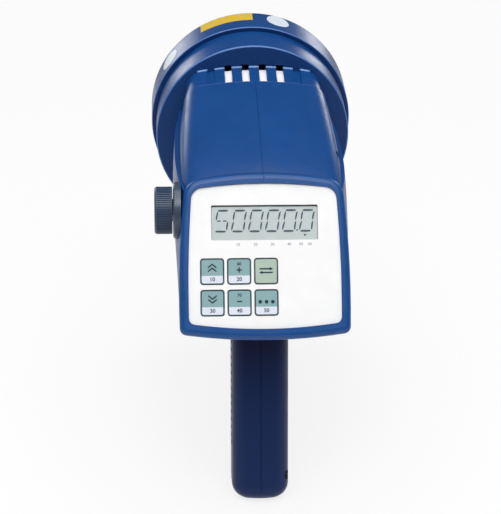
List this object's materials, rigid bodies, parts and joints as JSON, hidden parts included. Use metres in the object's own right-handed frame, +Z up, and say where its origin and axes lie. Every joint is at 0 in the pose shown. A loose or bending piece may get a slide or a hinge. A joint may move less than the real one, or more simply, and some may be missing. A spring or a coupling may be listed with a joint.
{
  "type": "xenon stroboscope",
  "caption": "Handheld stroboscope with a round flash head, a tilted control panel with a digital display and keys, a side adjusting knob, a pistol handle and a sprung trigger.",
  "frame": {"origin": "centre of the tripod socket's mouth on the flat base of the handle", "axes": "+X to the user's right, +Y along the lamp's beam, +Z up the tripod socket's axis"},
  "size_m": [0.1222, 0.2091, 0.2291],
  "materials": {
    "housing_blue": "fine-textured moulded plastic, royal blue",
    "head_blue": "satin moulded plastic, royal blue",
    "trigger_blue": "satin moulded plastic, dark blue",
    "overlay_white": "fine-grained printed polyester, white",
    "clear_window": "clear acrylic",
    "lcd_grey": "grey-green liquid crystal display",
    "key_teal": "printed key cap, teal and pale grey",
    "key_green": "printed key cap, pale green",
    "knob_black": "ribbed satin plastic, black",
    "collar_black": "matt plastic, black",
    "lens_clear": "clear polycarbonate",
    "gasket_rubber": "black rubber",
    "reflector_mirror": "bright metallised bowl",
    "tube_glass": "quartz glass",
    "electrode_metal": "grey metal",
    "socket_white": "glazed ceramic, off-white",
    "shield_white": "matt heat-resistant sheet, white",
    "board_green": "circuit board, green",
    "part_black": "moulded plastic, black",
    "capacitor_sleeve": "shrink sleeve, dark blue",
    "coil_tape": "yellow insulating tape on ferrite",
    "cell_sleeve": "shrink sleeve, green",
    "lead_red": "silicone insulation, red",
    "nickel": "nickel plate",
    "screw_steel": "zinc-plated steel",
    "spring_steel": "spring steel",
    "brass": "turned brass"
  },
  "bodies": {
    "body": {"left_housing": "housing_blue", "right_housing": "housing_blue", "reflector_housing": "head_blue", "front_bezel": "head_blue", "reflector": "reflector_mirror", "flash_tube": "tube_glass", "lamp_electrodes": "electrode_metal", "lens_gasket": "gasket_rubber", "front_lens": "lens_clear", "lamp_socket": "socket_white", "heat_shield": "shield_white", "panel_overlay": "overlay_white", "display_window": "clear_window", "lcd_module": "lcd_grey", "display_board": "board_green", "key_switches": "part_black", "board_screws": "screw_steel", "housing_screws": "screw_steel", "reflector_screws": "screw_steel", "bezel_screws": "screw_steel", "encoder_body": "part_black", "knob_collar": "collar_black", "encoder_nut": "nickel", "trigger_pin": "screw_steel", "trigger_spring": "spring_steel", "lock_spring": "spring_steel", "power_switch": "part_black", "input_jack": "part_black", "output_jack": "part_black", "jack_nuts": "nickel", "tripod_bush": "brass", "charge_jack": "part_black", "handle_cells": "cell_sleeve", "cell_holder": "part_black", "body_cells": "cell_sleeve", "main_board": "board_green", "discharge_capacitors": "capacitor_sleeve", "charge_transformer": "coil_tape", "trigger_transformer": "coil_tape", "lamp_leads": "lead_red"},
    "adjusting_knob": {"adjusting_knob": "knob_black", "encoder_shaft": "nickel"},
    "trigger": {"trigger": "trigger_blue"},
    "lock_button": {"lock_button": "part_black"},
    "key_double": {"key_double": "key_teal"},
    "key_halve": {"key_halve": "key_teal"},
    "key_phase_up": {"key_phase_up": "key_teal"},
    "key_phase_down": {"key_phase_down": "key_teal"},
    "key_alternate": {"key_alternate": "key_green"},
    "key_preset": {"key_preset": "key_teal"}
  },
  "joints": [
    {"name": "knob_turn", "type": "hinge", "parent": "body", "child": "adjusting_knob", "pos_m": [-0.0545, 0.0207, 0.1725], "axis": [-1, 0, 0], "continuous": true},
    {"name": "trigger_pull", "type": "hinge", "parent": "body", "child": "trigger", "pos_m": [0, 0.0457, 0.10344], "axis": [-1, 0, 0], "range_deg": [0, 7], "stiffness_Nm_per_rad": 0.6, "springref_deg": -8.59, "deforming": ["trigger_spring"]},
    {"name": "lock_push", "type": "slide", "parent": "body", "child": "lock_button", "axis": [1, 0, 0], "range_m": [0, 0.003], "stiffness_N_per_m": 400, "springref_m": -0.001, "deforming": ["lock_spring"]},
    {"name": "press_double", "type": "slide", "parent": "body", "child": "key_double", "axis": [0, 0.8434, -0.5373], "range_m": [0, 0.0004], "stiffness_N_per_m": 3000, "springref_m": -0.0001},
    {"name": "press_halve", "type": "slide", "parent": "body", "child": "key_halve", "axis": [0, 0.8434, -0.5373], "range_m": [0, 0.0004], "stiffness_N_per_m": 3000, "springref_m": -0.0001},
    {"name": "press_phase_up", "type": "slide", "parent": "body", "child": "key_phase_up", "axis": [0, 0.8434, -0.5373], "range_m": [0, 0.0004], "stiffness_N_per_m": 3000, "springref_m": -0.0001},
    {"name": "press_phase_down", "type": "slide", "parent": "body", "child": "key_phase_down", "axis": [0, 0.8434, -0.5373], "range_m": [0, 0.0004], "stiffness_N_per_m": 3000, "springref_m": -0.0001},
    {"name": "press_alternate", "type": "slide", "parent": "body", "child": "key_alternate", "axis": [0, 0.8434, -0.5373], "range_m": [0, 0.0004], "stiffness_N_per_m": 3000, "springref_m": -0.0001},
    {"name": "press_preset", "type": "slide", "parent": "body", "child": "key_preset", "axis": [0, 0.8434, -0.5373], "range_m": [0, 0.0004], "stiffness_N_per_m": 3000, "springref_m": -0.0001}
  ]
}
